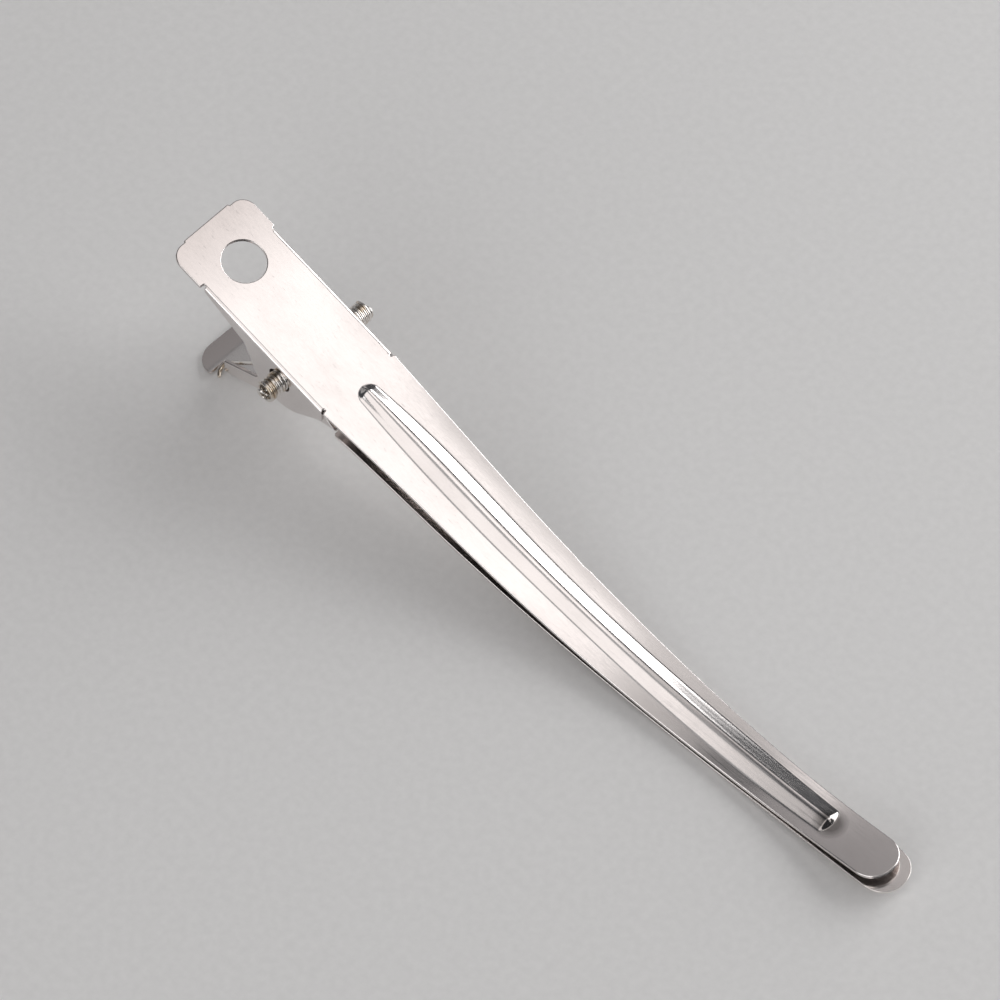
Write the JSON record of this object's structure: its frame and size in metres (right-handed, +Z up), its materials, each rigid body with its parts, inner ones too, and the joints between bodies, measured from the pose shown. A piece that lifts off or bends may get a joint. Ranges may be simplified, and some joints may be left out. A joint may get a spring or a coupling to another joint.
{
  "type": "alligator hair clip",
  "caption": "Long sprung hair clip of bowed sheet steel: two arms hinged on a wire spring, thumb tabs at one end, one with a hanging hole, round flat jaws at the other.",
  "frame": {"origin": "bottom centre of the whole clip's bounding box, at rest: it lies on the end of its lower thumb tab and on the belly of its lower blade", "axes": "+X along the clip from the thumb tabs to the jaw tips, +Y across it and along the hinge, +Z up, from the lower arm to the upper arm"},
  "size_m": [0.1219, 0.0195, 0.0214],
  "materials": {
    "upper_steel": "bright nickel plated sheet steel with a faint lengthwise grain",
    "lower_steel": "bright nickel plated sheet steel with a faint lengthwise grain",
    "spring_steel": "drawn spring wire, slightly warmer and darker than the sheet"
  },
  "bodies": {
    "lower_jaw": {"lower_arm": "lower_steel", "torsion_spring": "spring_steel"},
    "upper_jaw": {"upper_arm": "upper_steel"}
  },
  "joints": [
    {"name": "jaw_hinge", "type": "hinge", "parent": "lower_jaw", "child": "upper_jaw", "pos_m": [-0.04116, 0, 0.0123], "axis": [0, -1, 0], "range_deg": [0, 50], "stiffness_Nm_per_rad": 0.0167, "springref_deg": -103.13, "deforming": ["torsion_spring"]}
  ]
}
